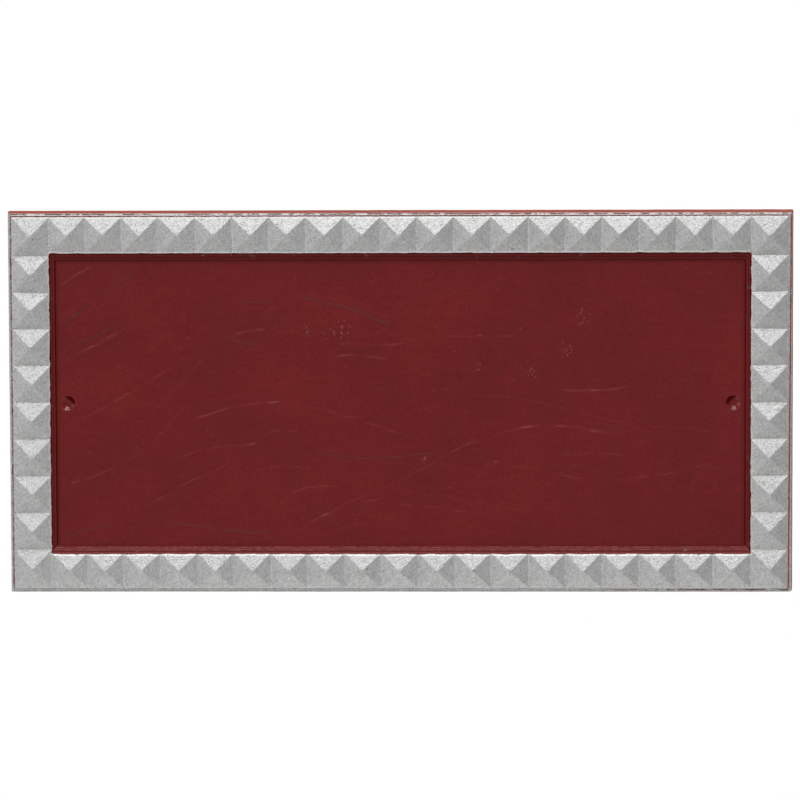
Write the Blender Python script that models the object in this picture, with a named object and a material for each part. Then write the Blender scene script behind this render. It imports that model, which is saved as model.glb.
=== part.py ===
"""Cast wall plaque: a border of square pyramid studs round a plain sunken field.

The plaque is one flat-backed casting. X runs along its width and Z up its height, the front
faces -Y, and the back lies on the plane y = 0 against the wall. The origin is the middle of
the back. A depth is measured from the plane of the studs' bases towards the wall.
"""

import math

import bmesh
import bpy
from mathutils import Vector

# Driving dimensions, in metres
STUD_PITCH = 0.01905
STUDS_ACROSS = 21
STUDS_DOWN = 10
STUD_HEIGHT = 0.0042
STUD_TIP = 0.0008
CORNER_STRETCH = 0.00095
BODY_DEPTH = 0.0120

# Two small steps run round the studs, and the edge below them flares to the wall
RIM_STEPS = 2
RIM_LEDGE = 0.0010
RIM_RISER = 0.0006
RIM_LEAN = 0.0002
EDGE_DRAFT = 0.0010
EDGE_CORNER_RADIUS = 0.0009
BACK_CHAMFER = 0.0005

# Three small steps lead down from the studs to the sunken field
OPENING_OVERRUN = 0.00155
FIELD_STEPS = 3
FIELD_LEDGE_SIDE = 0.0013
FIELD_LEDGE_LEVEL = 0.0017
FIELD_RISER = 0.00075
FIELD_LEAN = 0.0002
FIELD_CORNER_RADIUS = 0.0012
LEDGE_FALL = 0.00008

# A countersunk screw spot near each end of the field
DIMPLE_INSET = 0.0062
DIMPLE_MOUTH = 0.0080
DIMPLE_FLOOR = 0.0042
DIMPLE_CONE_DEPTH = 0.0012
DIMPLE_DEPTH = 0.0015
DIMPLE_SEGMENTS = 32

CORNER_SEGMENTS = 3
MERGE_DISTANCE = 0.000001

SILVER_PAINT = (0.62, 0.62, 0.60, 1.0)
RED_ENAMEL = (0.135, 0.018, 0.019, 1.0)

# Places that follow from the driving dimensions
OUTER_X = STUDS_ACROSS * STUD_PITCH / 2
OUTER_Z = STUDS_DOWN * STUD_PITCH / 2 + CORNER_STRETCH
OPENING_X = OUTER_X - STUD_PITCH
OPENING_Z = (STUDS_DOWN / 2 - 1) * STUD_PITCH + OPENING_OVERRUN


def clear_scene():
    """Remove whatever the open file holds."""
    for item in list(bpy.data.objects):
        bpy.data.objects.remove(item, do_unlink=True)


def paint(name, colour, roughness, metallic):
    """One Principled material."""
    material = bpy.data.materials.new(name)
    material.diffuse_color = colour
    material.use_nodes = True
    shader = material.node_tree.nodes["Principled BSDF"]
    shader.inputs["Base Color"].default_value = colour
    shader.inputs["Roughness"].default_value = roughness
    shader.inputs["Metallic"].default_value = metallic
    return material


def valley_lines(count):
    """Places of the valleys between neighbouring studs, from low to high."""
    return [(line - count / 2) * STUD_PITCH for line in range(1, count)]


def steps(risers, ledge, riser, lean):
    """Stair profile as (run, depth) pairs, from the first edge to the end of the last ledge."""
    points = [(0.0, 0.0)]
    for _ in range(risers):
        run, depth = points[-1]
        points.append((run + lean, depth + riser))
        points.append((run + ledge, depth + riser + LEDGE_FALL))
    return points


def ring(half_x, half_z, depth, radius, cuts_x, cuts_z):
    """Points round a rectangle with rounded corners, clockwise from the top left."""
    quarter = math.pi / 2
    corners = ((-1, 1), (1, 1), (1, -1), (-1, -1))
    sides = (
        [(x, half_z) for x in cuts_x],
        [(half_x, z) for z in reversed(cuts_z)],
        [(x, -half_z) for x in reversed(cuts_x)],
        [(-half_x, z) for z in cuts_z],
    )
    points = []
    for turn, (sign_x, sign_z) in enumerate(corners):
        centre_x = sign_x * (half_x - radius)
        centre_z = sign_z * (half_z - radius)
        for step in range(CORNER_SEGMENTS + 1):
            angle = math.pi - quarter * (turn + step / CORNER_SEGMENTS)
            points.append((centre_x + radius * math.cos(angle), centre_z + radius * math.sin(angle)))
        points.extend(sides[turn])
    return [Vector((x, depth - BODY_DEPTH, z)) for x, z in points]


class Skin:
    """A mesh in the making, whose faces share the points that they have in common."""

    def __init__(self):
        self.mesh = bmesh.new()
        self.corners = {}

    def corner(self, point):
        key = tuple(round(value / MERGE_DISTANCE) for value in point)
        if key not in self.corners:
            self.corners[key] = self.mesh.verts.new(point)
        return self.corners[key]

    def face(self, points, slot):
        """Add a face, leaving out points that fall together."""
        loop = []
        for point in points:
            corner = self.corner(point)
            if corner not in loop:
                loop.append(corner)
        if len(loop) > 2:
            self.mesh.faces.new(loop).material_index = slot

    def band(self, first, second, slot):
        """Join two rings with the same number of points."""
        for here in range(len(first)):
            after = (here + 1) % len(first)
            self.face((first[here], second[here], second[after], first[after]), slot)


def with_marks(start, end, marks):
    """A base edge from start to end, with the marks that lie on it in between."""
    run = end - start
    found = []
    for mark in marks:
        share = (mark - start).dot(run) / run.length_squared
        away = (start + run * share - mark).length
        if away < MERGE_DISTANCE and 0 < share < 1:
            found.append((share, mark))
    return [start] + [mark for _, mark in sorted(found, key=lambda pair: pair[0])] + [end]


def add_stud(skin, low, high, marks, slot):
    """A pyramid with a blunt tip on the rectangle from low to high, each an (x, z) pair."""
    signs = ((-1, 1), (1, 1), (1, -1), (-1, -1))
    middle = ((low[0] + high[0]) / 2, (low[1] + high[1]) / 2)
    half = ((high[0] - low[0]) / 2, (high[1] - low[1]) / 2)
    base = [Vector((middle[0] + sx * half[0], -BODY_DEPTH, middle[1] + sz * half[1])) for sx, sz in signs]
    tip_y = -BODY_DEPTH - STUD_HEIGHT
    tip = [Vector((middle[0] + sx * STUD_TIP / 2, tip_y, middle[1] + sz * STUD_TIP / 2)) for sx, sz in signs]
    for here in range(4):
        after = (here + 1) % 4
        edge = with_marks(base[here], base[after], marks)
        skin.face(edge + [tip[after], tip[here]], slot)
    skin.face(tip, slot)


def stud_places():
    """The border's rectangles: the top and bottom rows, then the columns between them."""
    lines_x = [-OUTER_X] + valley_lines(STUDS_ACROSS) + [OUTER_X]
    lines_z = [-OUTER_Z] + valley_lines(STUDS_DOWN) + [OUTER_Z]
    places = []
    for column in range(STUDS_ACROSS):
        left, right = lines_x[column], lines_x[column + 1]
        at_end = column in (0, STUDS_ACROSS - 1)
        inner = lines_z[-2] if at_end else OPENING_Z
        places.append(((left, inner), (right, OUTER_Z)))
        places.append(((left, -OUTER_Z), (right, -inner)))
    for row in range(1, STUDS_DOWN - 1):
        low, high = lines_z[row], lines_z[row + 1]
        places.append(((-OUTER_X, low), (-OPENING_X, high)))
        places.append(((OPENING_X, low), (OUTER_X, high)))
    return places


def add_border(skin, slot):
    """All the studs, sharing their valleys."""
    signs = ((-1, 1), (1, 1), (1, -1), (-1, -1))
    marks = [Vector((sx * OPENING_X, -BODY_DEPTH, sz * OPENING_Z)) for sx, sz in signs]
    for low, high in stud_places():
        add_stud(skin, low, high, marks, slot)


def add_rim(skin, painted, bare):
    """The steps round the studs, the flared edge and the flat back."""
    cuts_x = valley_lines(STUDS_ACROSS)
    cuts_z = valley_lines(STUDS_DOWN)
    profile = steps(RIM_STEPS, RIM_LEDGE, RIM_RISER, RIM_LEAN)
    rings = []
    for run, depth in profile:
        rings.append(ring(OUTER_X + run, OUTER_Z + run, depth, min(run, EDGE_CORNER_RADIUS), cuts_x, cuts_z))
    for first, second in zip(rings, rings[1:]):
        skin.band(first, second, painted)
    flare = profile[-1][0] + EDGE_DRAFT
    foot = (OUTER_X + flare, OUTER_Z + flare, BODY_DEPTH - BACK_CHAMFER)
    back = (foot[0] - BACK_CHAMFER, foot[1] - BACK_CHAMFER, BODY_DEPTH)
    for half_x, half_z, depth in (foot, back):
        rings.append(ring(half_x, half_z, depth, EDGE_CORNER_RADIUS, cuts_x, cuts_z))
        skin.band(rings[-2], rings[-1], bare)
    skin.face(rings[-1], bare)


def field_profile():
    """The steps down to the field, as (run across, run up, depth): the last ledge is the field."""
    side = steps(FIELD_STEPS, FIELD_LEDGE_SIDE, FIELD_RISER, FIELD_LEAN)[:-1]
    level = steps(FIELD_STEPS, FIELD_LEDGE_LEVEL, FIELD_RISER, FIELD_LEAN)[:-1]
    return [(across, up, depth) for (across, depth), (up, _) in zip(side, level)]


def add_field(skin, slot):
    """The steps inside the studs and the flat field."""
    cuts_x = valley_lines(STUDS_ACROSS)[1:-1]
    cuts_z = valley_lines(STUDS_DOWN)
    rings = []
    for across, up, depth in field_profile():
        radius = min(across, FIELD_CORNER_RADIUS)
        edge_x = OPENING_X - across
        edge_z = OPENING_Z - up
        # The outermost valleys end short of the field, so their points stop where its corner starts
        straight = edge_z - radius
        kept_z = [max(-straight, min(straight, z)) for z in cuts_z]
        rings.append(ring(edge_x, edge_z, depth, radius, cuts_x, kept_z))
    for first, second in zip(rings, rings[1:]):
        skin.band(first, second, slot)
    skin.face(rings[-1], slot)


def dimple_cutter(name, x, field_depth):
    """A turned plug: a cone, a short straight bore and a flat floor, on an axis along Y."""
    clearance = DIMPLE_DEPTH
    mouth_y = field_depth - BODY_DEPTH
    profile = (
        (0.0, -clearance),
        (DIMPLE_MOUTH / 2, -clearance),
        (DIMPLE_MOUTH / 2, 0.0),
        (DIMPLE_FLOOR / 2, DIMPLE_CONE_DEPTH),
        (DIMPLE_FLOOR / 2, DIMPLE_DEPTH),
        (0.0, DIMPLE_DEPTH),
    )
    mesh = bmesh.new()
    chain = [mesh.verts.new((radius, depth, 0.0)) for radius, depth in profile]
    edges = [mesh.edges.new(pair) for pair in zip(chain, chain[1:])]
    bmesh.ops.spin(
        mesh,
        geom=chain + edges,
        axis=(0.0, 1.0, 0.0),
        cent=(0.0, 0.0, 0.0),
        angle=2 * math.pi,
        steps=DIMPLE_SEGMENTS,
    )
    bmesh.ops.remove_doubles(mesh, verts=mesh.verts, dist=MERGE_DISTANCE)
    bmesh.ops.recalc_face_normals(mesh, faces=mesh.faces)
    data = bpy.data.meshes.new(name)
    mesh.to_mesh(data)
    mesh.free()
    cutter = bpy.data.objects.new(name, data)
    cutter.location = (x, mouth_y, 0.0)
    cutter.hide_render = True
    cutter.display_type = "WIRE"
    bpy.context.scene.collection.objects.link(cutter)
    return cutter


def make_plaque():
    """The casting, with its two screw spots cut in."""
    skin = Skin()
    add_border(skin, 0)
    add_rim(skin, 0, 1)
    add_field(skin, 1)
    bmesh.ops.recalc_face_normals(skin.mesh, faces=skin.mesh.faces)
    data = bpy.data.meshes.new("plaque")
    skin.mesh.to_mesh(data)
    skin.mesh.free()
    data.materials.append(paint("silver_paint", SILVER_PAINT, 0.45, 0.6))
    data.materials.append(paint("red_enamel", RED_ENAMEL, 0.35, 0.0))
    plaque = bpy.data.objects.new("plaque", data)
    bpy.context.scene.collection.objects.link(plaque)
    across, _, field_depth = field_profile()[-1]
    dimple_x = OPENING_X - across - DIMPLE_INSET
    for side, x in (("left", -dimple_x), ("right", dimple_x)):
        cut = plaque.modifiers.new("screw spot " + side, "BOOLEAN")
        cut.operation = "DIFFERENCE"
        cut.solver = "EXACT"
        cut.object = dimple_cutter("screw_spot_cutter_" + side, x, field_depth)
    return plaque


clear_scene()
make_plaque()
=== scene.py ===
import functools
import math
from collections import namedtuple

import bpy
import numpy as np
from mathutils import Matrix, Vector


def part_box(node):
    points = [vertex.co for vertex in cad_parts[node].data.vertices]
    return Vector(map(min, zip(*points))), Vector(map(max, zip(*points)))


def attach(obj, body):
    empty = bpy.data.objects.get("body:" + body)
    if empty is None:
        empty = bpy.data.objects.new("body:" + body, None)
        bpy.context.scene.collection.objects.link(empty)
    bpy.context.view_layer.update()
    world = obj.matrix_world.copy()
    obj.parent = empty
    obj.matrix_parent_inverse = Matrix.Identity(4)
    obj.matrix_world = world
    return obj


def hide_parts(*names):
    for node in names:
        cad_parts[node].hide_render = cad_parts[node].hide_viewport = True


# The looks of the cast wall plaque: silver paint over red enamel on a border of pyramid studs,
# a creased red field sunk inside it, two painted-over screw spots and a bare cast back.
# X runs along the width, Z up the height, the front faces -Y and the back lies on y = 0.
# A depth is measured from the plane of the studs' bases towards the wall, as on the casting.

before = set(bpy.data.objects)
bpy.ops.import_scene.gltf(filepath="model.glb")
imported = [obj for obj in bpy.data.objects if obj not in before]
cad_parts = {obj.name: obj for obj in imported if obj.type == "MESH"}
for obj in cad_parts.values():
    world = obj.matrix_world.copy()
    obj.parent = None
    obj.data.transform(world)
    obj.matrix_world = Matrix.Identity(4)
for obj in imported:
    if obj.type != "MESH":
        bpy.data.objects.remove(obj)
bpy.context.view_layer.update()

MM = 0.001

# The casting's own sizes
STUD_PITCH = 19.05 * MM
STUDS_ACROSS = 21
STUDS_DOWN = 10
STUD_HEIGHT = 4.2 * MM
RIM_WIDTH = 3.0 * MM
RIM_LEDGES = 2
RIM_LEDGE = 1.0 * MM
RIM_RISER = 0.6 * MM
BACK_CHAMFER = 0.5 * MM
EDGE_CORNER_RADIUS = 0.9 * MM
LIP_INSET = 0.06 * MM
LIP_REACH = 0.18 * MM
LIP_DROP = 0.30 * MM
OPENING_OVERRUN = 1.55 * MM
OPENING_CORNER = 1.3 * MM
FIELD_LEDGES = 3
FIELD_LEDGE_SIDE = 1.3 * MM
FIELD_LEDGE_LEVEL = 1.7 * MM
FIELD_RISER = 0.75 * MM
FIELD_CORNER_RADIUS = 1.2 * MM
LEAN = 0.2 * MM
LEDGE_FALL = 0.08 * MM
SPOT_INSET = 6.2 * MM
SPOT_MOUTH = 4.0 * MM
SPOT_FLOOR = 2.1 * MM
SPOT_LIP = 0.25 * MM
SPOT_LIP_FALL = 0.06 * MM
SPOT_CONE_DEPTH = 1.2 * MM
SPOT_DEPTH = 1.5 * MM

# Places that follow from the frame and those sizes
LOW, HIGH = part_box("plaque")
BODY_DEPTH = -LOW.y - STUD_HEIGHT
OUTER_X = HIGH.x - RIM_WIDTH
OUTER_Z = HIGH.z - RIM_WIDTH
OPENING_X = OUTER_X - STUD_PITCH
OPENING_Z = (STUDS_DOWN / 2 - 1) * STUD_PITCH + OPENING_OVERRUN
FIELD_DEPTH = FIELD_LEDGES * FIELD_RISER + (FIELD_LEDGES - 1) * LEDGE_FALL
FIELD_X = OPENING_X - (FIELD_LEDGES - 1) * FIELD_LEDGE_SIDE - LEAN
FIELD_Z = OPENING_Z - (FIELD_LEDGES - 1) * FIELD_LEDGE_LEVEL - LEAN
LIP_START = RIM_LEDGES * RIM_LEDGE - LIP_INSET
SPOT_X = FIELD_X - SPOT_INSET

# How uneven the casting is
VALLEY_SHIFT_X = -0.55 * MM
VALLEY_SHIFT_Z = 0.30 * MM
LINE_WANDER = 0.30 * MM
TIP_WANDER = 0.35 * MM
TIP_LOSS = 0.06
TIP_BLUNT = 0.042
VALLEY_FILLET = 0.05 * MM
RIDGE_LOSS = 0.05 * MM
RIDGE_WIDTH = 0.25 * MM
FACET_WAVE = 0.035 * MM
FACET_WAVE_SIZE = 5.0 * MM
EDGE_WANDER = 0.09 * MM
EDGE_WAVE_SIZE = 9.0 * MM
STAIR_WANDER = 0.10 * MM
STAIR_DIP = 0.05 * MM
SPOT_ROUGHNESS = 0.03 * MM
PIT_DEPTH = 0.12 * MM

# How fine the grids are, how far the field runs under its steps, and when two points are one
RING_STEP = 2.4 * MM
STAIR_STEP = 1.5 * MM
FIELD_STEP_X = 1.30 * MM
FIELD_STEP_Z = 0.60 * MM
SPOT_WINDOW = SPOT_MOUTH + 1.4 * MM
TUCK = 0.12 * MM
TUCK_DEPTH = 0.06 * MM
MERGE = 0.001 * MM

# Mesh values that are 1 on the studs' ridges and on their bases, and fall to 0 at this distance
CREST = "crest"
VALLEY = "valley"
MARK_REACH = 1.2 * MM


def smoothstep(value):
    """0 below 0, 1 above 1, and the cubic 3v^2 - 2v^3 between them."""
    value = np.clip(value, 0.0, 1.0)
    return value * value * (3 - 2 * value)


def lattice_noise(x, z, size_x, size_z, seed):
    """Random numbers on a lattice of size_x by size_z, blended by smoothstep, about -1 to 1."""
    cells = 64
    values = np.random.default_rng(seed).uniform(-1, 1, (cells, cells))
    across = x / size_x + cells / 2
    up = z / size_z + cells / 2
    column = np.floor(across).astype(int)
    row = np.floor(up).astype(int)
    share_x = smoothstep(across - column)
    share_z = smoothstep(up - row)
    left, right = column % cells, (column + 1) % cells
    low, high = row % cells, (row + 1) % cells
    below = values[left, low] * (1 - share_x) + values[right, low] * share_x
    above = values[left, high] * (1 - share_x) + values[right, high] * share_x
    return below * (1 - share_z) + above * share_z


def ripples(x, z, size, seed):
    """Three octaves of lattice noise, each half the size and half the height of the last."""
    total = 0
    for octave in range(3):
        share = 0.5 ** octave
        total = total + share * lattice_noise(x, z, size * share, size * share, seed + octave)
    return total


def grid_triangles(rows, columns, start=0):
    """Two triangles for each cell of a grid of points, facing row direction x column direction."""
    corner = (np.arange(rows - 1)[:, None] * columns + np.arange(columns - 1)).ravel() + start
    after, above, across = corner + 1, corner + columns, corner + columns + 1
    return np.concatenate((np.stack((corner, after, across), 1), np.stack((corner, across, above), 1)))


def make_piece(name, sheets, sharp_degrees, marks=None):
    """One mesh from grids of points, each an array of rows, columns and xyz.

    Points closer than MERGE become one, and triangles that shrink to a line are left out.
    marks gives a name and a number for each point, which the mesh keeps for its material.
    """
    points, triangles, count = [], [], 0
    for sheet in sheets:
        rows, columns, _ = sheet.shape
        points.append(sheet.reshape(-1, 3))
        triangles.append(grid_triangles(rows, columns, count))
        count += rows * columns
    points = np.concatenate(points)
    triangles = np.concatenate(triangles)
    keys = np.round(points / MERGE).astype(np.int64)
    _, first, merged = np.unique(keys, axis=0, return_index=True, return_inverse=True)
    triangles = merged.reshape(-1)[triangles]
    whole = (triangles[:, 0] != triangles[:, 1]) & (triangles[:, 1] != triangles[:, 2])
    whole &= triangles[:, 2] != triangles[:, 0]
    triangles = triangles[whole]
    mesh = bpy.data.meshes.new(name)
    mesh.vertices.add(len(first))
    mesh.vertices.foreach_set("co", points[first].astype(np.float32).ravel())
    mesh.loops.add(triangles.size)
    mesh.loops.foreach_set("vertex_index", triangles.astype(np.int32).ravel())
    mesh.polygons.add(len(triangles))
    mesh.polygons.foreach_set("loop_start", np.arange(0, triangles.size, 3, dtype=np.int32))
    mesh.update(calc_edges=True)
    for mark, values in (marks or {}).items():
        near = np.concatenate([part.ravel() for part in values])[first]
        kept = mesh.attributes.new(mark, "FLOAT", "POINT")
        kept.data.foreach_set("value", near.astype(np.float32))
    mesh.validate()
    mesh.shade_smooth()
    mesh.set_sharp_from_angle(angle=math.radians(sharp_degrees))
    piece = bpy.data.objects.new(name, mesh)
    bpy.context.scene.collection.objects.link(piece)
    return piece


def finish_piece(piece, material):
    """Put the piece on the casting, in the casting's place."""
    piece.data.materials.append(material)
    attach(piece, "root")
    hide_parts("plaque")


def graded(*stops):
    """Shares from 0 to 1 that are the same from both ends; stops are those of the first half."""
    first = np.array(stops)
    return np.unique(np.concatenate((first, [0.5], 1 - first)))


def ring_path(half_x, half_z, radius, step):
    """Points round a rectangle with rounded corners, clockwise from the top left and closed.

    half_x, half_z and radius hold one number for each ring. A side is a straight run between
    its corners' centres, and a corner a quarter circle.
    """
    corner_steps = 6
    turns = np.linspace(0, math.pi / 2, corner_steps + 1)
    count_x = int(round(2 * OUTER_X / step))
    count_z = int(round(2 * OUTER_Z / step))
    across, up = [], []
    signs = ((-1, 1), (1, 1), (1, -1), (-1, -1))
    for turn, (sign_x, sign_z) in enumerate(signs):
        next_x, next_z = signs[(turn + 1) % 4]
        count = count_x if sign_z == next_z else count_z
        angle = math.pi - turn * math.pi / 2 - turns
        straight = np.arange(1, count) / count
        core_x, core_z = half_x - radius, half_z - radius
        across.append(sign_x * core_x[:, None] + radius[:, None] * np.cos(angle))
        up.append(sign_z * core_z[:, None] + radius[:, None] * np.sin(angle))
        leave_x = sign_x * core_x + radius * math.cos(angle[-1])
        leave_z = sign_z * core_z + radius * math.sin(angle[-1])
        reach_x = next_x * core_x + radius * math.cos(angle[-1])
        reach_z = next_z * core_z + radius * math.sin(angle[-1])
        across.append(leave_x[:, None] * (1 - straight) + reach_x[:, None] * straight)
        up.append(leave_z[:, None] * (1 - straight) + reach_z[:, None] * straight)
    across = np.concatenate(across, 1)
    up = np.concatenate(up, 1)
    return np.concatenate((across, across[:, :1]), 1), np.concatenate((up, up[:, :1]), 1)


def stair_runs(ledges, ledge):
    """Where a stair's profile has its points: close together on each riser, wide on a ledge."""
    riser = np.linspace(0, LEAN, 7)
    flat = LEAN + (ledge - LEAN) * np.array((0.25, 0.5, 0.75))
    return np.concatenate([k * ledge + part for k in range(ledges) for part in (riser, flat)])


def stair_depth(run, ledges, ledge, riser):
    """Depth at a run: each riser is a smoothstep over the lean, and each ledge falls a little."""
    depth = np.zeros_like(run)
    for k in range(ledges):
        depth += riser * smoothstep((run - k * ledge) / LEAN)
        depth += LEDGE_FALL * np.clip((run - k * ledge - LEAN) / (ledge - LEAN), 0, 1)
    return depth


def wandering(lines, rng):
    """The valley lines' outer and inner ends, led astray by chance but for two at either side."""
    fixed = [0, 1, -2, -1]
    pair = []
    for _ in ("outer", "inner"):
        ends = lines + LINE_WANDER * rng.uniform(-1, 1, lines.size)
        ends[fixed] = lines[fixed]
        pair.append(ends)
    return pair


def stud_corners():
    """The studs' base rectangles as corners (x, z), clockwise from the top left.

    The valleys stand a pitch apart and wander at both ends, but the outline, the opening and
    the corner studs' own sides stay straight.
    """
    rng = np.random.default_rng(5)
    lines_x = (np.arange(STUDS_ACROSS + 1) - STUDS_ACROSS / 2) * STUD_PITCH
    lines_z = (np.arange(STUDS_DOWN + 1) - STUDS_DOWN / 2) * STUD_PITCH
    lines_z[0], lines_z[-1] = -OUTER_Z, OUTER_Z
    lines_x[2:-2] += VALLEY_SHIFT_X
    lines_z[2:-2] += VALLEY_SHIFT_Z
    rects = []
    for side in (1, -1):
        outer, inner = wandering(lines_x, rng)
        reach = np.full(STUDS_ACROSS, OPENING_Z)
        reach[[0, -1]] = lines_z[-2]
        out_row = np.full(STUDS_ACROSS, side * OUTER_Z)
        corners = np.stack((
            np.stack((outer[:-1], out_row), 1),
            np.stack((outer[1:], out_row), 1),
            np.stack((inner[1:], side * reach), 1),
            np.stack((inner[:-1], side * reach), 1),
        ), 1)
        rects.append(corners if side > 0 else corners[:, ::-1])
    for side in (1, -1):
        outer, inner = wandering(lines_z, rng)
        rows = slice(1, STUDS_DOWN - 1)
        after = slice(2, STUDS_DOWN)
        out_column = np.full(STUDS_DOWN - 2, side * OUTER_X)
        in_column = np.full(STUDS_DOWN - 2, side * OPENING_X)
        corners = np.stack((
            np.stack((in_column, inner[after]), 1),
            np.stack((out_column, outer[after]), 1),
            np.stack((out_column, outer[rows]), 1),
            np.stack((in_column, inner[rows]), 1),
        ), 1)
        rects.append(corners if side > 0 else corners[:, ::-1])
    return np.concatenate(rects)


def stud_sheets():
    """All the studs' facets, one grid each, and how near its points lie to a ridge or the base.

    A facet's point is the tip plus a share s of the way to a point t along its base edge. The
    height falls in proportion to s, is blunted by an exponential at the tip, rounded off
    beside the ridges by another, and runs into the valley by a hyperbola. Noise bends the
    facets and dies out at the base.
    """
    corners = stud_corners()
    rng = np.random.default_rng(11)
    count = len(corners)
    tip = corners.mean(1) + TIP_WANDER * rng.uniform(-1, 1, (count, 2))
    height = STUD_HEIGHT * (1 - TIP_LOSS * rng.uniform(0, 1, count)) / (1 - TIP_BLUNT)
    height = np.minimum(height, STUD_HEIGHT)
    along = graded(0.0, 0.015, 0.04, 0.09, 0.16, 0.24, 0.32, 0.41)
    down = np.array((0, 0.02, 0.045, 0.08, 0.13, 0.2, 0.28, 0.37, 0.46, 0.55, 0.64, 0.73, 0.81,
                     0.88, 0.93, 0.965, 0.985, 1.0))
    start = corners[:, :, None, :]
    end = np.roll(corners, -1, axis=1)[:, :, None, :]
    base = start + (end - start) * along[:, None]
    share = down[:, None]
    place = tip[:, None, None, None, :] * (1 - share[..., None]) + base[:, :, None] * share[..., None]
    x, z = place[..., 0], place[..., 1]
    beside = share * np.minimum(along, 1 - along) * STUD_PITCH * math.sqrt(0.5)
    ridge = RIDGE_LOSS * np.exp(-beside / RIDGE_WIDTH) * (1 - share ** 4)
    fallen = np.minimum(share + TIP_BLUNT * np.exp(-share / TIP_BLUNT), 1.0)
    rise = height[:, None, None, None] * (1 - fallen)
    rise = np.sqrt(rise ** 2 + VALLEY_FILLET ** 2) - VALLEY_FILLET
    wave = FACET_WAVE * ripples(x, z, FACET_WAVE_SIZE, 21) * (1 - share ** 6) * smoothstep(share / 0.2)
    y = -BODY_DEPTH - np.clip(rise - ridge * smoothstep(rise / STUD_HEIGHT * 6) + wave, 0, STUD_HEIGHT)
    sheets = np.stack((x, y, z), -1).reshape(-1, down.size, along.size, 3)
    crest = np.clip(1 - beside / MARK_REACH, 0, 1)
    above = (1 - share) * STUD_PITCH / 2
    valley = np.clip(1 - above / MARK_REACH, 0, 1) * np.ones(along.size)
    return list(sheets), {CREST: [crest] * len(sheets), VALLEY: [valley] * len(sheets)}


def drawn_in(x, z, amount):
    """The outline drawn in by 0 to amount, as much as three octaves of ripples say."""
    shrink = amount * np.clip(0.5 + 0.5 * ripples(x, z, EDGE_WAVE_SIZE, 31), 0, 1)
    drawn_x = x - np.sign(x) * shrink * (np.abs(x) > OUTER_X)
    drawn_z = z - np.sign(z) * shrink * (np.abs(z) > OUTER_Z)
    return drawn_x, drawn_z


def rim_sheet(runs, depths, radii):
    """A profile of runs and depths carried round the outline; the edge wanders with the place."""
    x, z = ring_path(OUTER_X + runs, OUTER_Z + runs, radii, RING_STEP)
    loose = smoothstep(runs / (2 * LEAN))[:, None]
    x, z = drawn_in(x, z, EDGE_WANDER * loose)
    dip = 0.5 * EDGE_WANDER * loose * lattice_noise(x, z, 6 * MM, 6 * MM, 37)
    y = depths[:, None] - BODY_DEPTH + dip
    return np.stack((x, np.minimum(y, 0.0), z), -1)


def border_piece():
    """The studs and the two small ledges that run round them."""
    runs = np.append(stair_runs(RIM_LEDGES, RIM_LEDGE), LIP_START)
    depths = stair_depth(runs, RIM_LEDGES, RIM_LEDGE, RIM_RISER)
    radii = np.minimum(runs, EDGE_CORNER_RADIUS)
    rim = rim_sheet(runs, depths, radii)
    studs, marks = stud_sheets()
    for values in marks.values():
        values.append(np.zeros(rim.shape[:2]))
    return make_piece("studded_border", studs + [rim], 30, marks)


def edge_piece():
    """The flared side of the casting: a rounded lip, then a straight draft to the chamfer."""
    lip_depth = stair_depth(np.array((LIP_START,)), RIM_LEDGES, RIM_LEDGE, RIM_RISER)[0]
    turns = np.linspace(0, math.pi / 2, 6)
    round_run = LIP_START + LIP_REACH * np.sin(turns)
    round_depth = lip_depth + LIP_DROP * (1 - np.cos(turns))
    share = np.array((0.06, 0.15, 0.3, 0.45, 0.6, 0.75, 0.9, 1.0))
    foot_depth = BODY_DEPTH - BACK_CHAMFER
    side_run = round_run[-1] + (RIM_WIDTH - round_run[-1]) * share
    side_depth = round_depth[-1] + (foot_depth - round_depth[-1]) * share
    runs = np.concatenate((round_run, side_run))
    depths = np.concatenate((round_depth, side_depth))
    radii = np.full(runs.size, EDGE_CORNER_RADIUS)
    return make_piece("outer_edge", [rim_sheet(runs, depths, radii)], 40)


def back_piece():
    """The chamfer and the flat back, whose cast pits sink in from the plane of the wall."""
    runs = np.array((RIM_WIDTH, RIM_WIDTH - 0.5 * BACK_CHAMFER, RIM_WIDTH - BACK_CHAMFER))
    depths = BODY_DEPTH - BACK_CHAMFER + (RIM_WIDTH - runs)
    chamfer = rim_sheet(runs, depths, np.full(runs.size, EDGE_CORNER_RADIUS))
    shares = np.concatenate((np.linspace(1, 0.9, 12), np.linspace(0.88, 0, 60)))
    half_x = (OUTER_X + runs[-1]) * shares
    half_z = (OUTER_Z + runs[-1]) * shares
    x, z = ring_path(half_x, half_z, EDGE_CORNER_RADIUS * shares, RING_STEP)
    inside = smoothstep((1 - shares) / 0.03)[:, None]
    x, z = drawn_in(x, z, EDGE_WANDER * (1 - inside))
    sink = PIT_DEPTH * inside * np.clip(ripples(x, z, 14 * MM, 41), 0, 1)
    flat = np.stack((x, -sink, z), -1)
    return make_piece("back_plate", [chamfer, flat], 40)


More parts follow.
